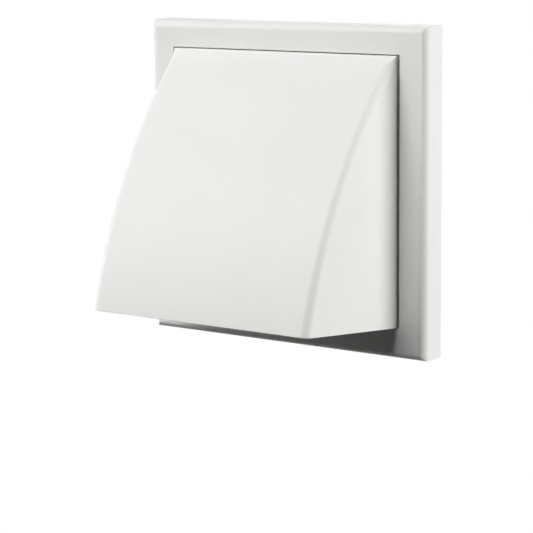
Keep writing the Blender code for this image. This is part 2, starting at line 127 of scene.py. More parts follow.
class CowlFrameSizes(bpy.types.PropertyGroup):
    """Sizes of the wall frame."""
    half_width: length("Half width", "Duct's axis to the frame's side, at the wall", FRAME_HIGH.x)
    depth: length("Depth", "Wall to the frame's front face", -FRAME_LOW.y)
    draft: FloatProperty(name="Draft", description="How much each side leans in per unit of depth",
                         default=0.0095, min=0.0, max=0.2)
    edge_round: length("Edge round", "Radius along the front's outer edges", 0.0042)
    wall: length("Wall", "Thickness of the frame's walls", 0.002)
    opening_half_width: length("Opening half width", "Half the width of the hood's opening", 0.06335)
    opening_top: length("Opening top", "Height of the opening above the duct's axis", 0.0639)
    opening_foot: length("Opening foot", "Depth of the opening below the duct's axis", 0.0626)
    floor_thickness: length("Floor", "Thickness of the recess's floor", 0.0025)
    rib_width: length("Rib width", "Width of the ribs in the hollow border", 0.0015)
    rib_setback: length("Rib setback", "How far short of the wall the ribs end", 0.001)
    ribs_per_side: IntProperty(name="Ribs per side", description="Ribs across each side of the border",
                               default=3, min=0, max=20)
    bore_radius: length("Bore radius", "Inner radius of the spigot", 0.0475)
    spigot_wall: length("Spigot wall", "Thickness of the spigot's wall", 0.0018)
    spigot_lead: length("Spigot lead-in", "Chamfer at the spigot's end", 0.0009)
    seat_height: length("Seat height", "Height of the ring that the flap closes on", 0.0025)
    seat_width: length("Seat width", "Width of the ring that the flap closes on", 0.0022)
    screw_reach: length("Screw reach", "Duct's axis to the screw holes, both ways", 0.054)
    screw_hole: length("Screw hole", "Radius of the screw holes", 0.00225)
    screw_sink: length("Countersink", "Outer radius of the countersinks", 0.0041)
    boss_radius: length("Boss radius", "Radius of the bosses round the screw holes", 0.005)
    boss_height: length("Boss height", "Height of the bosses above the floor", 0.0012)
    ear_inner: length("Ear place", "Duct's axis to the inner face of a hinge ear", 0.0293)
    ear_thickness: length("Ear thickness", "Thickness of a hinge ear", 0.0022)
    ear_nose: length("Ear nose", "Radius of an ear round its pin hole", 0.003)
    ejector_radius: length("Ejector marks", "Radius of the round marks that the mould leaves", 0.0022)
    ejector_depth: length("Ejector depth", "Depth of the round marks that the mould leaves", 0.00012)


class CowlHoodSizes(bpy.types.PropertyGroup):
    """Sizes of the hood."""
    half_width: length("Half width", "Half the hood's width in the recess", 0.06225)
    top: length("Top", "Hood's top above the duct's axis", HOOD_HIGH.z)
    reach: length("Reach", "Wall to the front of the lip", -HOOD_LOW.y)
    proud: length("Proud edge", "Top edge in front of the frame's face", 0.0007)
    lip_drop: length("Lip drop", "Lip below the duct's axis", 0.0539)
    heel_drop: length("Heel drop", "Sides' lower edge at the frame, below the duct's axis", 0.0622)
    front_radius: length("Front radius", "Radius of the curved front, seen from the side", 0.240)
    crest_round: length("Crest round", "Radius between the front and the sides", 0.0038)
    draft: FloatProperty(name="Draft", description="How much each side leans in per unit of reach",
                         default=0.043, min=0.0, max=0.3)
    wall: length("Wall", "Thickness of the hood's walls", 0.002)
    back: length("Back", "Wall to the back edge of the skirt", 0.0028)
    hook_width: length("Hook width", "Width of the spring hooks", 0.010)
    hook_slot: length("Hook slot", "Width of the slots beside a hook", 0.0012)
    hook_slot_length: length("Slot length", "Length of the slots beside a hook", 0.0085)
    hook_depth: length("Barb depth", "Barb from front to back", 0.0030)
    hook_land: length("Barb land", "Flat top of a barb, front to back", 0.0010)
    hook_reach: length("Barb reach", "Barb beyond the skirt", 0.0021)
    hook_setback: length("Barb setback", "Barb's back edge in front of the skirt's", 0.0012)
    hook_low: FloatProperty(name="Lower hooks", description="Height of the lower hooks", default=-0.030,
                            unit="LENGTH", subtype="DISTANCE")
    hook_high: FloatProperty(name="Upper hooks", description="Height of the upper hooks", default=0.036,
                             unit="LENGTH", subtype="DISTANCE")


class CowlFlapSizes(bpy.types.PropertyGroup):
    """Sizes of the backdraft flap."""
    radius: length("Leaf radius", "Radius of the round leaf", 0.0509)
    back: length("Leaf back", "Wall to the back of the leaf", 0.0053)
    thickness: length("Leaf thickness", "Thickness of the leaf", 0.0014)
    bead: length("Bead height", "Height of the bead round the leaf", 0.0008)
    bead_width: length("Bead width", "Width of the bead round the leaf", 0.0016)
    bead_inset: length("Bead inset", "Bead's outer edge in from the leaf's", 0.0005)
    rib_height: length("Rib height", "Height of the upright ribs", 0.0018)
    cross_height: length("Cross rib height", "Height of the rib across", 0.0009)
    rib_width: length("Rib width", "Width of the ribs", 0.0012)
    rib_spacing: length("Rib spacing", "Between the two upright ribs", 0.036)
    hinge_height: length("Hinge height", "Hinge axis above the duct's axis", 0.0545)
    hinge_out: length("Hinge place", "Wall to the hinge axis", 0.005)
    barrel_radius: length("Barrel radius", "Radius of the hinge barrel", 0.0021)
    barrel_half: length("Barrel half length", "Half the length of the hinge barrel", 0.029)
    neck_setback: length("Neck setback", "Neck short of each end of the barrel", 0.001)
    pin_radius: length("Pin radius", "Radius of the stub pins", 0.0014)
    pin_gap: length("Pin clearance", "Gap round a pin and beside an ear", 0.0003)


class CowlFinish(bpy.types.PropertyGroup):
    """Colours and surface of the mouldings."""
    frame_colour: colour("Frame colour", "Colour of the wall frame", (0.840, 0.847, 0.828))
    hood_colour: colour("Hood colour", "Colour of the hood", (0.833, 0.832, 0.817))
    flap_colour: colour("Flap colour", "Colour of the backdraft flap", (0.82, 0.82, 0.81))
    roughness: FloatProperty(name="Roughness", description="Mean roughness of the moulded surface",
                             default=0.46, min=0.0, max=1.0, subtype="FACTOR")
    sheen: FloatProperty(name="Sheen", description="Strength of the surface's reflection", default=0.3,
                         min=0.0, max=1.0, subtype="FACTOR")
    edge_radius: length("Small edges", "Radius on the small edges of every moulding", 0.00025)
    grain_size: length("Grain size", "Size of the fine grain on the mould's faces", 0.00035)
    grain_depth: length("Grain depth", "Depth of the fine grain", 0.000012)
    rubbed_width: length("Rubbed width", "How far the rubbed edges reach in", 0.0006)
    rubbed_tone: FloatProperty(name="Rubbed tone", description="How much the rubbed edges darken",
                               default=0.6, min=0.0, max=1.0, subtype="FACTOR")
    rubbed_gloss: FloatProperty(name="Rubbed gloss", description="How much smoother the rubbed edges are",
                                default=0.08, min=0.0, max=0.3)


class CowlStage(bpy.types.PropertyGroup):
    """Floor, background and lamp levels."""
    floor_drop: length("Floor drop", "Duct's axis to the floor", 1.2, high=5.0)
    floor_colour: colour("Floor colour", "Colour of the floor", (0.90, 0.90, 0.90))
    front_watts: FloatProperty(name="Front lamp", description="Power of the lamp at the left front",
                               default=13.8, min=0.0, subtype="POWER", unit="POWER")
    high_watts: FloatProperty(name="High lamp", description="Power of the high lamp in front",
                              default=10.5, min=0.0, subtype="POWER", unit="POWER")
    low_watts: FloatProperty(name="Low lamp", description="Power of the low lamp at the left",
                             default=6.6, min=0.0, subtype="POWER", unit="POWER")
    side_watts: FloatProperty(name="Side lamp", description="Power of the lamp at the right",
                              default=31.0, min=0.0, subtype="POWER", unit="POWER")
    back_watts: FloatProperty(name="Back lamp", description="Power of the lamp behind the wall's plane",
                              default=8.0, min=0.0, subtype="POWER", unit="POWER")
    under_watts: FloatProperty(name="Under lamp", description="Power of the lamp below and behind",
                               default=3.0, min=0.0, subtype="POWER", unit="POWER")
    fill: FloatProperty(name="Fill", description="Strength of the light from all round", default=0.005,
                        min=0.0, max=2.0)


def circle(centre, radius, start, end, steps):
    """Points on an arc from one angle to another, in degrees, both ends included."""
    points = []
    for i in range(steps + 1):
        angle = math.radians(start + (end - start) * i / steps)
        points.append((centre[0] + radius * math.cos(angle), centre[1] + radius * math.sin(angle)))
    return points


def place(pair, along, axis):
    """A point along an axis; the pair holds its other two coordinates in the order x, y, z."""
    point = list(pair)
    point.insert("XYZ".index(axis), along)
    return Vector(point)


def loft(bm, outlines, closed_ring=False):
    """Skin a stack of outlines with as many points each; caps both ends, or joins last to first."""
    rows = [[bm.verts.new(point) for point in outline] for outline in outlines]
    count = len(rows[0])
    pairs = list(zip(rows, rows[1:]))
    if closed_ring:
        pairs.append((rows[-1], rows[0]))
    for one, other in pairs:
        for i in range(count):
            j = (i + 1) % count
            bm.faces.new((one[i], one[j], other[j], other[i]))
    if not closed_ring:
        bm.faces.new(rows[0])
        bm.faces.new(rows[-1])


def add_box(bm, low, high):
    """A box between two corners."""
    size = Vector(high) - Vector(low)
    middle = (Vector(high) + Vector(low)) / 2
    bmesh.ops.create_cube(bm, size=1.0, matrix=Matrix.Translation(middle) @ Matrix.Diagonal((*size, 1.0)))


def add_prism(bm, outline, axis, start, end):
    """An outline extruded along an axis."""
    loft(bm, [[place(pair, level, axis) for pair in outline] for level in (start, end)])


def add_disc(bm, radii, levels, centre, steps, axis="Y"):
    """A round solid along an axis, with a radius at each level."""
    loft(bm, [[place(pair, level, axis) for pair in circle(centre, radius, 0, 360, steps)[:-1]]
              for radius, level in zip(radii, levels)])


def add_turned(bm, profile, steps):
    """A closed profile of (radius, y) pairs turned about the duct's axis."""
    outlines = []
    for i in range(steps):
        angle = 2 * math.pi * i / steps
        outlines.append([(radius * math.cos(angle), y, radius * math.sin(angle)) for radius, y in profile])
    loft(bm, outlines, closed_ring=True)


def make_object(name, bm):
    """Turn a bmesh into an object in the scene."""
    bmesh.ops.recalc_face_normals(bm, faces=bm.faces)
    mesh = bpy.data.meshes.new(name)
    bm.to_mesh(mesh)
    bm.free()
    item = bpy.data.objects.new(name, mesh)
    bpy.context.scene.collection.objects.link(item)
    return item


def settle(item):
    """Bake an object's modifiers into its mesh."""
    graph = bpy.context.evaluated_depsgraph_get()
    mesh = bpy.data.meshes.new_from_object(item.evaluated_get(graph))
    item.modifiers.clear()
    item.data = mesh


def carve(item, steps):
    """Cut or join shapes one after another. Steps are (bmesh, operation) pairs."""
    for number, (bm, operation) in enumerate(steps):
        tool = make_object(f"{item.name}_tool_{number}", bm)
        modifier = item.modifiers.new("shape", "BOOLEAN")
        modifier.operation = operation
        modifier.solver = "EXACT"
        modifier.object = tool
        settle(item)
        bpy.data.objects.remove(tool)


def soften(item, radius, material):
    """Round the small edges, shade smooth and give the piece its finish."""
    mesh = item.data
    bm = bmesh.new()
    bm.from_mesh(mesh)
    bmesh.ops.remove_doubles(bm, verts=bm.verts, dist=MERGE_DISTANCE)
    bmesh.ops.dissolve_limit(bm, angle_limit=FLAT_ANGLE, verts=bm.verts, edges=bm.edges)
    bm.to_mesh(mesh)
    bm.free()
    bevel = item.modifiers.new("edges", "BEVEL")
    bevel.width = radius
    bevel.segments = 2
    bevel.limit_method = "ANGLE"
    bevel.angle_limit = BEVEL_ANGLE
    bevel.miter_outer = "MITER_ARC"
    bevel.use_clamp_overlap = True
    settle(item)
    item.data.shade_smooth()
    item.data.set_sharp_from_angle(angle=SHARP_ANGLE)
    normals = item.modifiers.new("normals", "WEIGHTED_NORMAL")
    normals.keep_sharp = True
    normals.weight = 50
    settle(item)
    item.data.materials.clear()
    item.data.materials.append(material)


def link(tree, source, target):
    """Join two sockets of a material."""
    tree.links.new(source, target)


def add_noise(tree, coordinates, scale, detail, roughness):
    """A noise texture in the piece's own coordinates."""
    noise = tree.nodes.new("ShaderNodeTexNoise")
    noise.inputs["Scale"].default_value = scale
    noise.inputs["Detail"].default_value = detail
    noise.inputs["Roughness"].default_value = roughness
    link(tree, coordinates, noise.inputs["Vector"])
    return noise.outputs["Fac"]


def add_range(tree, value, low, high):
    """Spread a noise value between two limits."""
    node = tree.nodes.new("ShaderNodeMapRange")
    node.inputs["From Min"].default_value = 0.3
    node.inputs["From Max"].default_value = 0.7
    node.inputs["To Min"].default_value = low
    node.inputs["To Max"].default_value = high
    link(tree, value, node.inputs["Value"])
    return node.outputs["Result"]


def add_bump(tree, height, depth, strength, under=None):
    """A bump from a height value, on top of another bump."""
    bump = tree.nodes.new("ShaderNodeBump")
    bump.inputs["Strength"].default_value = strength
    bump.inputs["Distance"].default_value = depth
    link(tree, height, bump.inputs["Height"])
    if under:
        link(tree, under, bump.inputs["Normal"])
    return bump.outputs["Normal"]


def add_scaled(tree, value, factor, base):
    """A value times a factor, plus another value."""
    node = tree.nodes.new("ShaderNodeMath")
    node.operation = "MULTIPLY_ADD"
    node.inputs[1].default_value = factor
    link(tree, value, node.inputs[0])
    link(tree, base, node.inputs[2])
    return node.outputs["Value"]


def add_edges(tree, width, patches):
    """0 on the faces, towards 1 on the edges that hands rub, broken up by a noise."""
    rounded = tree.nodes.new("ShaderNodeBevel")
    rounded.samples = 4
    rounded.inputs["Radius"].default_value = width
    plain = tree.nodes.new("ShaderNodeNewGeometry")
    turn = tree.nodes.new("ShaderNodeVectorMath")
    turn.operation = "DOT_PRODUCT"
    link(tree, rounded.outputs["Normal"], turn.inputs[0])
    link(tree, plain.outputs["Normal"], turn.inputs[1])
    edge = tree.nodes.new("ShaderNodeMapRange")
    edge.inputs["From Min"].default_value = 0.995
    edge.inputs["From Max"].default_value = 0.85
    link(tree, turn.outputs["Value"], edge.inputs["Value"])
    worn = tree.nodes.new("ShaderNodeMath")
    worn.operation = "MULTIPLY"
    link(tree, edge.outputs["Result"], worn.inputs[0])
    link(tree, add_range(tree, patches, 0.4, 1.0), worn.inputs[1])
    return worn.outputs["Value"]


def moulded_plastic(name, base, offset):
    """White satin plastic: fine grain, slow waviness, small changes of gloss and tone, rubbed edges."""
    finish = bpy.context.scene.cowl_finish
    material = bpy.data.materials.new(name)
    material.use_nodes = True
    tree = material.node_tree
    shader = tree.nodes["Principled BSDF"]
    shader.inputs["Metallic"].default_value = 0.0
    shader.inputs["IOR"].default_value = PLASTIC_IOR
    shader.inputs["Specular IOR Level"].default_value = finish.sheen
    where = tree.nodes.new("ShaderNodeTexCoord")
    shift = tree.nodes.new("ShaderNodeMapping")
    shift.inputs["Location"].default_value = (offset, offset * 0.7, -offset)
    link(tree, where.outputs["Object"], shift.inputs["Vector"])
    spot = shift.outputs["Vector"]

    cloud = add_noise(tree, spot, *CLOUD)
    fleck = add_noise(tree, spot, *FLECK)
    tone = tree.nodes.new("ShaderNodeMix")
    tone.data_type = "RGBA"
    tone.inputs["A"].default_value = (base[0] * 0.985, base[1] * 0.988, base[2] * 0.985, 1.0)
    tone.inputs["B"].default_value = (base[0] * 1.012, base[1] * 1.012, base[2] * 1.012, 1.0)
    mixed = add_scaled(tree, add_range(tree, cloud, 0.0, 1.0), 0.7, add_range(tree, fleck, 0.0, 0.3))
    gloss = add_noise(tree, spot, *GLOSS)
    rubbed = add_edges(tree, finish.rubbed_width, gloss)
    link(tree, add_scaled(tree, rubbed, -finish.rubbed_tone, mixed), tone.inputs["Factor"])
    link(tree, tone.outputs["Result"], shader.inputs["Base Color"])

    dull = add_range(tree, gloss, finish.roughness - GLOSS_SPREAD, finish.roughness + GLOSS_SPREAD)
    link(tree, add_scaled(tree, rubbed, -finish.rubbed_gloss, dull), shader.inputs["Roughness"])

    wave = add_bump(tree, add_noise(tree, spot, *WAVE), WAVE_DEPTH, 0.35)
    grain = add_noise(tree, spot, 1.0 / finish.grain_size, *GRAIN_DETAIL)
    link(tree, add_bump(tree, grain, finish.grain_depth, 0.5, wave), shader.inputs["Normal"])
    return material


def frame_block(s):
    """The frame's drafted block, its front edges rounded and mitred at the corners."""
    bm = bmesh.new()
    bend = s.depth - s.edge_round
    profile = [(s.half_width, 0.0), (s.half_width - s.draft * bend, -bend)]
    centre = (s.half_width - s.draft * bend - s.edge_round, -bend)
    profile += circle(centre, s.edge_round, 0, -90, EDGE_STEPS)[1:]
    squares = [[(-half, y, -half), (half, y, -half), (half, y, half), (-half, y, half)]
               for half, y in profile]
    loft(bm, squares)
    return bm


def recess(s):
    """The opening that the hood sits in, down to the recess's floor."""
    bm = bmesh.new()
    add_box(bm, (-s.opening_half_width, -s.depth - PASS, -s.opening_foot),
            (s.opening_half_width, -s.floor_thickness, s.opening_top))
    return bm


def border_spans(s, low, high):
    """Divide a span into cells with a rib between each pair."""
    cells = s.ribs_per_side + 1
    pitch = (high - low + s.rib_width) / cells
    return [(low + i * pitch, low + (i + 1) * pitch - s.rib_width) for i in range(cells)]


def border_hollow(s):
    """The cells of the hollow border, open towards the wall, and the shallow ring that ends the ribs."""
    inner_x = s.opening_half_width + s.wall
    outer = s.half_width - s.wall
    foot = -(s.opening_foot + s.wall)
    top = s.opening_top + s.wall
    front = -s.depth + s.wall
    bm = bmesh.new()
    for low, high in border_spans(s, -outer, outer):
        add_box(bm, (low, front, top), (high, PASS, outer))
        add_box(bm, (low, front, -outer), (high, PASS, foot))
    for low, high in border_spans(s, foot + s.rib_width, top - s.rib_width):
        add_box(bm, (-outer, front, low), (-inner_x, PASS, high))
        add_box(bm, (inner_x, front, low), (outer, PASS, high))
    ring = bmesh.new()
    corners = [((-outer, -outer), (-inner_x, foot)), ((outer, -outer), (inner_x, foot)),
               ((outer, outer), (inner_x, top)), ((-outer, outer), (-inner_x, top))]
    outlines = [[(far[0], -s.rib_setback, far[1]), (near[0], -s.rib_setback, near[1]),
                 (near[0], PASS, near[1]), (far[0], PASS, far[1])] for far, near in corners]
    loft(ring, outlines, closed_ring=True)
    return bm, ring


def screw_places(s):
    """Centres of the four screw holes, as (x, z)."""
    return [(x, z) for x in (-s.screw_reach, s.screw_reach) for z in (-s.screw_reach, s.screw_reach)]


def screw_bosses(s):
    """Low round bosses on the recess's floor."""
    bm = bmesh.new()
    for centre in screw_places(s):
        levels = (-s.floor_thickness / 2, -s.floor_thickness - s.boss_height)
        add_disc(bm, (s.boss_radius, s.boss_radius), levels, centre, SCREW_STEPS)
    return bm


def screw_holes(s):
    """Countersunk holes through the bosses and the floor."""
    bm = bmesh.new()
    face = -s.floor_thickness - s.boss_height
    radii = (s.screw_hole, s.screw_hole, s.screw_sink, s.screw_sink)
    levels = (PASS, face + (s.screw_sink - s.screw_hole), face, face - PASS)
    for centre in screw_places(s):
        add_disc(bm, radii, levels, centre, SCREW_STEPS)
    return bm


def hinge_ears(s, flap):
    """Two ears with round noses that carry the flap's stub pins."""
    bm = bmesh.new()
    centre = (-flap.hinge_out, flap.hinge_height)
    root = -s.floor_thickness / 2
    outline = circle(centre, s.ear_nose, 90, 270, NOSE_STEPS)
    outline += [(root, flap.hinge_height - s.ear_nose), (root, flap.hinge_height + s.ear_nose)]
    for side in (-1, 1):
        add_prism(bm, outline, "X", side * s.ear_inner, side * (s.ear_inner + s.ear_thickness))
    return bm


def pin_holes(s, flap):
    """Holes through the two ears."""
    bm = bmesh.new()
    centre = (-flap.hinge_out, flap.hinge_height)
    outline = circle(centre, flap.pin_radius + flap.pin_gap, 0, 360, PIN_STEPS)[:-1]
    near = s.ear_inner - PASS
    far = s.ear_inner + s.ear_thickness + PASS
    for side in (-1, 1):
        add_prism(bm, outline, "X", side * near, side * far)
    return bm


def barb_span(hood):
    """Back and front of the hooks' barbs."""
    back = -(hood.back + hood.hook_setback)
    return back, back - hood.hook_depth


def hook_windows(s, hood, gap):
    """Windows in the recess's side walls, one for each barb."""
    back, front = barb_span(hood)
    inner = s.opening_half_width - PASS
    outer = s.opening_half_width + s.wall + PASS
    bm = bmesh.new()
    for height in (hood.hook_low, hood.hook_high):
        low = height - hood.hook_width / 2 - gap
        high = height + hood.hook_width / 2 + gap
        add_box(bm, (inner, front - gap, low), (outer, back + gap, high))
        add_box(bm, (-outer, front - gap, low), (-inner, back + gap, high))
    return bm


def duct_hole(s):
    """The hole in the recess's floor that the spigot is joined into."""
    bm = bmesh.new()
    radius = s.bore_radius + s.spigot_wall / 2
    add_disc(bm, (radius, radius), (-s.floor_thickness - PASS, PASS), (0.0, 0.0), RING_STEPS)
    return bm


def spigot(s, end):
    """The spigot and the seat ring in one turned profile."""
    seat_radius = s.bore_radius + s.seat_width
    seat_face = -(s.floor_thickness + s.seat_height)
    outer = s.bore_radius + s.spigot_wall
    middle = -s.floor_thickness / 2
    bm = bmesh.new()
    add_turned(bm, [(s.bore_radius, seat_face), (seat_radius, seat_face), (seat_radius, middle),
                    (outer, middle), (outer, end - s.spigot_lead), (outer - s.spigot_lead, end),
                    (s.bore_radius, end)], RING_STEPS)
    return bm


def ejector_marks(s):
    """Shallow round marks on the back of the recess's floor, where the mould's pins pushed."""
    bm = bmesh.new()
    for centre in EJECTOR_PLACES:
        add_disc(bm, (s.ejector_radius, s.ejector_radius), (-s.ejector_depth, PASS), centre, EJECTOR_STEPS)
    return bm


class COWL_OT_wall_frame(bpy.types.Operator):
    """Make the wall frame: border, recess, spigot, hinge ears and screw bosses"""
    bl_idname = "cowl.wall_frame"
    bl_label = "Wall frame"

    def execute(self, context):
        s = context.scene.cowl_frame
        hood = context.scene.cowl_hood
        flap = context.scene.cowl_flap
        finish = context.scene.cowl_finish
        item = make_object("frame_moulding", frame_block(s))
        cells, rib_ring = border_hollow(s)
        carve(item, [(recess(s), "DIFFERENCE"),
                     (screw_bosses(s), "UNION"),
                     (hinge_ears(s, flap), "UNION"),
                     (cells, "DIFFERENCE"),
                     (rib_ring, "DIFFERENCE"),
                     (screw_holes(s), "DIFFERENCE"),
                     (pin_holes(s, flap), "DIFFERENCE"),
                     (hook_windows(s, hood, flap.pin_gap), "DIFFERENCE"),
                     (duct_hole(s), "DIFFERENCE"),
                     (spigot(s, FRAME_HIGH.y), "UNION"),
                     (ejector_marks(s), "DIFFERENCE")])
        plastic = moulded_plastic("frame_white_plastic", finish.frame_colour, 0.0)
        soften(item, finish.edge_radius, plastic)
        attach(item, "cowl")
        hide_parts("wall_frame")
        return {"FINISHED"}


def front_centre(s, face):
    """Centre (y, z) of the arc through the hood's top edge and its lip. Face is the frame's depth."""
    top = Vector((-face - s.proud, s.top))
    lip = Vector((-s.reach, -s.lip_drop))
    chord = lip - top
    height = math.sqrt(s.front_radius ** 2 - (chord.length / 2) ** 2)
    inward = Vector((-chord.y, chord.x)).normalized()
    return (top + lip) / 2 + inward * height


def front_point(s, face, radius, top, drop, step):
    """Point (y, z) at a step down an arc about the front's centre, from a top to the lower edge."""
    centre = front_centre(s, face)
    slope = (s.heel_drop - s.lip_drop) / (s.reach - face)
    start = math.pi - math.asin((top - centre.y) / radius)
    level = -s.heel_drop - slope * face - drop
    distance = (level - slope * centre.x - centre.y) / math.hypot(1.0, slope)
    end = math.pi - math.asin(distance / radius) - math.atan(slope)
    angle = start + (end - start) * step / CURVE_STEPS
    return centre.x + radius * math.cos(angle), centre.y + radius * math.sin(angle)


def crest_radius(s, face, step):
    """Radius of the round between front and side, which runs out where the front meets the frame."""
    y = front_point(s, face, s.front_radius, s.top, 0.0, step)[0]
    steepness = (front_centre(s, face).x - y) / s.front_radius
    return min(s.crest_round, (-face - y) * steepness)


def hood_column(s, face, turn, inset, drop):
    """Points from top to bottom along one line of the crest; turn is 0 at the front, 90 at the side."""
    points = []
    for step in range(CURVE_STEPS + 1):
        crest = max(crest_radius(s, face, step) - inset, LEAST_CREST)
        radius = s.front_radius - inset - crest * (1 - math.cos(turn))
        y, z = front_point(s, face, radius, s.top - inset, drop, step)
        half = s.half_width - s.draft * max(0.0, -face - y)
        points.append((half - inset - crest * (1 - math.sin(turn)), y, z))
    return points


def hood_solid(s, face, inset, drop, back, gap):
    """A solid with the hood's outer form, shrunk by inset, lowered by drop and reaching back to back."""
    columns = [hood_column(s, face, math.pi / 2 * i / CREST_STEPS, inset, drop)
               for i in range(CREST_STEPS + 1)]
    top = s.top - inset
    foot = -s.heel_drop - drop
    heights = [top + (foot - top) * step / CURVE_STEPS for step in range(CURVE_STEPS + 1)]
    half = s.half_width - inset
    columns.append([(half, max(-face, point[1] + gap), z) for point, z in zip(columns[-1], heights)])
    columns.append([(half, back, z) for z in heights])
    bm = bmesh.new()
    right = [[bm.verts.new(point) for point in column] for column in columns]
    left = [[bm.verts.new((-x, y, z)) for x, y, z in column] for column in columns]
    strips = list(reversed(left)) + right
    for one, other in zip(strips, strips[1:]):
        for i in range(CURVE_STEPS):
            bm.faces.new((one[i], one[i + 1], other[i + 1], other[i]))
    bm.faces.new(left[-1] + list(reversed(right[-1])))
    bm.faces.new([strip[0] for strip in strips])
    bm.faces.new([strip[-1] for strip in strips[1:-1]])
    bm.faces.new((left[-2][-1], left[-1][-1], right[-1][-1], right[-2][-1]))
    return bm


def hook_slots(s):
    """The slots beside each spring arm, in from the skirt's back edge."""
    bm = bmesh.new()
    inner = s.half_width - s.wall - PASS
    outer = s.half_width + PASS
    for height in (s.hook_low, s.hook_high):
        for edge in (height - s.hook_width / 2 - s.hook_slot, height + s.hook_width / 2):
            low = (inner, -s.back - s.hook_slot_length, edge)
            high = (outer, -s.back + PASS, edge + s.hook_slot)
            add_box(bm, low, high)
            add_box(bm, (-high[0], low[1], low[2]), (-low[0], high[1], high[2]))
    return bm


def hook_barbs(s):
    """The barbs on the spring arms, with a ramp towards the wall and a square face to the front."""
    bm = bmesh.new()
    back, front = barb_span(s)
    root = s.half_width - s.wall / 2
    tip = s.half_width + s.hook_reach
    for height in (s.hook_low, s.hook_high):
        for side in (-1, 1):
            outline = [(side * root, back), (side * s.half_width, back), (side * tip, front + s.hook_land),
                       (side * tip, front), (side * root, front)]
            add_prism(bm, outline, "Z", height - s.hook_width / 2, height + s.hook_width / 2)
    return bm


class COWL_OT_hood(bpy.types.Operator):
    """Make the hood: curved front, two sides, skirt and spring hooks"""
    bl_idname = "cowl.hood"
    bl_label = "Hood"

    def execute(self, context):
        s = context.scene.cowl_hood
        face = context.scene.cowl_frame.depth
        gap = context.scene.cowl_flap.pin_gap
        finish = context.scene.cowl_finish
        item = make_object("hood_moulding", hood_solid(s, face, 0.0, 0.0, -s.back, gap))
        carve(item, [(hood_solid(s, face, s.wall, PASS, -s.back + PASS, gap), "DIFFERENCE"),
                     (hook_slots(s), "DIFFERENCE"),
                     (hook_barbs(s), "UNION")])
        plastic = moulded_plastic("hood_white_plastic", finish.hood_colour, 0.31)
        soften(item, finish.edge_radius, plastic)
        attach(item, "cowl")
        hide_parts("cowl_hood")
        return {"FINISHED"}


def flap_leaf(s):
    """The round leaf, with a straight neck up to the hinge."""
    neck = s.barrel_half - s.neck_setback
    angle = math.degrees(math.acos(neck / s.radius))
    outline = circle((0.0, 0.0), s.radius, angle, -180 - angle, LEAF_STEPS)
    outline += [(-neck, s.hinge_height), (neck, s.hinge_height)]
    bm = bmesh.new()
    add_prism(bm, outline, "Y", -s.back - s.thickness, -s.back)
    return bm


def flap_bead(s):
    """The bead on the leaf's front, just inside its edge."""
    front = -s.back - s.thickness
    outer = s.radius - s.bead_inset
    inner = outer - s.bead_width
    root = front + s.thickness / 2
    bm = bmesh.new()
    profile = [(inner, root), (inner, front - s.bead), (outer, front - s.bead), (outer, root)]
    add_turned(bm, profile, RING_STEPS)
    return bm


def flap_cross_rib(s):
    """The rib across the leaf."""
    front = -s.back - s.thickness
    reach = s.radius - s.bead_width
    bm = bmesh.new()
    add_box(bm, (-reach, front - s.cross_height, -s.rib_width / 2),
            (reach, front + s.thickness / 2, s.rib_width / 2))
    return bm


def flap_upright_ribs(s):
    """The two ribs from the hinge to the leaf's foot."""
    front = -s.back - s.thickness
    foot = -math.sqrt(s.radius ** 2 - (s.rib_spacing / 2) ** 2) + s.bead_width
    bm = bmesh.new()
    for middle in (-s.rib_spacing / 2, s.rib_spacing / 2):
        add_box(bm, (middle - s.rib_width / 2, front - s.rib_height, foot),
                (middle + s.rib_width / 2, front + s.thickness / 2, s.hinge_height))
    return bm


def flap_barrel(s, ear):
    """The barrel along the hinge axis, with a stub pin at each end."""
    tip = s.barrel_half + s.pin_gap + ear
    bm = bmesh.new()
    radii = (s.pin_radius, s.pin_radius, s.barrel_radius, s.barrel_radius, s.pin_radius, s.pin_radius)
    levels = (-tip, -s.barrel_half, -s.barrel_half, s.barrel_half, s.barrel_half, tip)
    add_disc(bm, radii, levels, (-s.hinge_out, s.hinge_height), BARREL_STEPS, axis="X")
    return bm


class COWL_OT_flap(bpy.types.Operator):
    """Make the backdraft flap: round leaf, bead, ribs and barrel"""
    bl_idname = "cowl.flap"
    bl_label = "Backdraft flap"

    def execute(self, context):
        s = context.scene.cowl_flap
        finish = context.scene.cowl_finish
        item = make_object("flap_moulding", flap_leaf(s))
        carve(item, [(flap_bead(s), "UNION"),
                     (flap_cross_rib(s), "UNION"),
                     (flap_upright_ribs(s), "UNION"),
                     (flap_barrel(s, context.scene.cowl_frame.ear_thickness), "UNION")])
        plastic = moulded_plastic("flap_white_plastic", finish.flap_colour, 0.73)
        soften(item, finish.edge_radius * 0.8, plastic)
        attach(item, "flap")
        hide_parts("backdraft_flap")
        return {"FINISHED"}


def aim(item, target):
    """Turn a lamp so that it shines at a point."""
    item.rotation_mode = "QUATERNION"
    item.rotation_quaternion = (Vector(target) - item.location).to_track_quat("-Z", "Y")


def add_lamp(name, azimuth, elevation, distance, width, height, watts):
    """A soft rectangular lamp. Azimuth 0 is in front of the cowl and 90 at its right."""
    data = bpy.data.lights.new(name, "AREA")
    data.shape = "RECTANGLE"
    data.size = width
    data.size_y = height
    data.energy = watts
    lamp = bpy.data.objects.new(name, data)
    bpy.context.scene.collection.objects.link(lamp)
    a, e = math.radians(azimuth), math.radians(elevation)
    lamp.location = distance * Vector((math.sin(a) * math.cos(e), -math.cos(a) * math.cos(e), math.sin(e)))
    aim(lamp, LAMP_TARGET)
    lamp.visible_camera = False
    return lamp


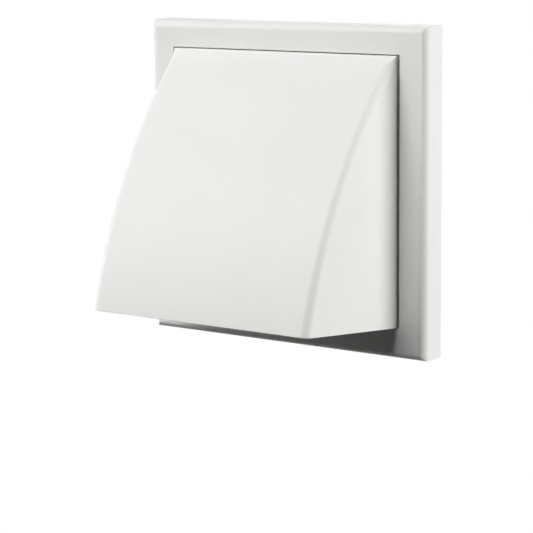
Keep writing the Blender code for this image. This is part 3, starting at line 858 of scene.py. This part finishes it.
def seen_or_lit(tree, seen, lit):
    """One shader for what the camera, reflections and glass see, another for the light on the object."""
    path = tree.nodes.new("ShaderNodeLightPath")
    mirrored = tree.nodes.new("ShaderNodeMath")
    mirrored.operation = "MAXIMUM"
    link(tree, path.outputs["Is Glossy Ray"], mirrored.inputs[0])
    link(tree, path.outputs["Is Transmission Ray"], mirrored.inputs[1])
    looked_at = tree.nodes.new("ShaderNodeMath")
    looked_at.operation = "MAXIMUM"
    link(tree, path.outputs["Is Camera Ray"], looked_at.inputs[0])
    link(tree, mirrored.outputs["Value"], looked_at.inputs[1])
    mix = tree.nodes.new("ShaderNodeMixShader")
    link(tree, looked_at.outputs["Value"], mix.inputs["Fac"])
    link(tree, lit, mix.inputs[1])
    link(tree, seen, mix.inputs[2])
    return mix.outputs["Shader"]


def build_world(fill):
    """A dim, even light from all round, and a white background for the camera."""
    world = bpy.data.worlds.new("studio")
    bpy.context.scene.world = world
    world.use_nodes = True
    tree = world.node_tree
    tree.nodes.clear()
    output = tree.nodes.new("ShaderNodeOutputWorld")
    lit = tree.nodes.new("ShaderNodeBackground")
    lit.inputs["Color"].default_value = (1.0, 1.0, 1.0, 1.0)
    lit.inputs["Strength"].default_value = fill
    seen = tree.nodes.new("ShaderNodeBackground")
    seen.inputs["Color"].default_value = (1.0, 1.0, 1.0, 1.0)
    seen.inputs["Strength"].default_value = 1.0
    link(tree, seen_or_lit(tree, seen.outputs["Background"], lit.outputs["Background"]),
         output.inputs["Surface"])


def floor_material(base):
    """Pale floor that shows the object's shadow near it and runs out into the white background."""
    material = bpy.data.materials.new("pale_floor")
    material.use_nodes = True
    tree = material.node_tree
    tree.nodes.clear()
    output = tree.nodes.new("ShaderNodeOutputMaterial")
    dull = tree.nodes.new("ShaderNodeBsdfDiffuse")
    dull.inputs["Color"].default_value = (*(FLOOR_LIT * part for part in base), 1.0)
    pale = tree.nodes.new("ShaderNodeBsdfDiffuse")
    pale.inputs["Color"].default_value = (*base, 1.0)
    glow = tree.nodes.new("ShaderNodeEmission")
    glow.inputs["Strength"].default_value = FLOOR_GLOW
    near = tree.nodes.new("ShaderNodeAddShader")
    link(tree, pale.outputs["BSDF"], near.inputs[0])
    link(tree, glow.outputs["Emission"], near.inputs[1])
    far = tree.nodes.new("ShaderNodeEmission")
    far.inputs["Strength"].default_value = 1.0
    where = tree.nodes.new("ShaderNodeTexCoord")
    distance = tree.nodes.new("ShaderNodeVectorMath")
    distance.operation = "LENGTH"
    link(tree, where.outputs["Object"], distance.inputs[0])
    fade = tree.nodes.new("ShaderNodeMapRange")
    fade.inputs["From Min"].default_value = FADE_START
    fade.inputs["From Max"].default_value = FADE_END
    link(tree, distance.outputs["Value"], fade.inputs["Value"])
    seen = tree.nodes.new("ShaderNodeMixShader")
    link(tree, fade.outputs["Result"], seen.inputs["Fac"])
    link(tree, near.outputs["Shader"], seen.inputs[1])
    link(tree, far.outputs["Emission"], seen.inputs[2])
    link(tree, seen_or_lit(tree, seen.outputs["Shader"], dull.outputs["BSDF"]), output.inputs["Surface"])
    return material


def build_camera():
    """The photograph's camera."""
    yaw, pitch, roll = (math.radians(angle) for angle in CAMERA_ANGLES)
    ahead = Vector((-math.sin(yaw) * math.cos(pitch), math.cos(yaw) * math.cos(pitch), -math.sin(pitch)))
    level = Vector((math.cos(yaw), math.sin(yaw), 0.0))
    upright = level.cross(ahead)
    right = level * math.cos(roll) + upright * math.sin(roll)
    up = upright * math.cos(roll) - level * math.sin(roll)
    data = bpy.data.cameras.new("camera")
    data.sensor_width = 36.0
    data.lens = CAMERA_FOCUS / PHOTO_SIZE * data.sensor_width
    data.shift_y = (CAMERA_ROW - PHOTO_SIZE / 2) / PHOTO_SIZE
    data.clip_start = 0.05
    data.clip_end = 50.0
    data.dof.use_dof = False
    camera = bpy.data.objects.new("camera", data)
    bpy.context.scene.collection.objects.link(camera)
    turn = Matrix((right, up, -ahead)).transposed()
    camera.matrix_world = Matrix.Translation(CAMERA_PLACE) @ turn.to_4x4()
    bpy.context.scene.camera = camera


class COWL_OT_stage(bpy.types.Operator):
    """Set the pale floor, the background, the lamps and the camera"""
    bl_idname = "cowl.stage"
    bl_label = "Stage"

    def execute(self, context):
        s = context.scene.cowl_stage
        bm = bmesh.new()
        bmesh.ops.create_grid(bm, x_segments=1, y_segments=1, size=FLOOR_HALF)
        floor = make_object("floor", bm)
        floor.location.z = -s.floor_drop
        floor.data.materials.append(floor_material(s.floor_colour))
        build_world(s.fill)
        for *place_and_size, power in LAMPS:
            add_lamp(*place_and_size, getattr(s, power))
        build_camera()
        context.scene.view_settings.view_transform = "Standard"
        return {"FINISHED"}


class COWL_PT_panel(bpy.types.Panel):
    """Lists the cowl's pieces and their sizes"""
    bl_label = "Wall vent cowl"
    bl_idname = "COWL_PT_panel"
    bl_space_type = "VIEW_3D"
    bl_region_type = "UI"
    bl_category = "Cowl"

    def draw(self, context):
        scene = context.scene
        for title, operator, group in (("Wall frame", "cowl.wall_frame", scene.cowl_frame),
                                       ("Hood", "cowl.hood", scene.cowl_hood),
                                       ("Backdraft flap", "cowl.flap", scene.cowl_flap),
                                       ("Finish", None, scene.cowl_finish),
                                       ("Stage", "cowl.stage", scene.cowl_stage)):
            box = self.layout.box()
            box.label(text=title)
            for name in group.bl_rna.properties.keys():
                if name not in ("rna_type", "name"):
                    box.prop(group, name)
            if operator:
                box.operator(operator)


GROUPS = (("cowl_frame", CowlFrameSizes), ("cowl_hood", CowlHoodSizes), ("cowl_flap", CowlFlapSizes),
          ("cowl_finish", CowlFinish), ("cowl_stage", CowlStage))
CLASSES = (COWL_OT_wall_frame, COWL_OT_hood, COWL_OT_flap, COWL_OT_stage, COWL_PT_panel)


def register():
    for name, group in GROUPS:
        bpy.utils.register_class(group)
        setattr(bpy.types.Scene, name, PointerProperty(type=group))
    for item in CLASSES:
        bpy.utils.register_class(item)


def unregister():
    for item in reversed(CLASSES):
        bpy.utils.unregister_class(item)
    for name, group in reversed(GROUPS):
        delattr(bpy.types.Scene, name)
        bpy.utils.unregister_class(group)


def main():
    register()
    bpy.ops.cowl.wall_frame()
    bpy.ops.cowl.hood()
    bpy.ops.cowl.flap()
    bpy.ops.cowl.stage()


if __name__ == "__main__":
    main()
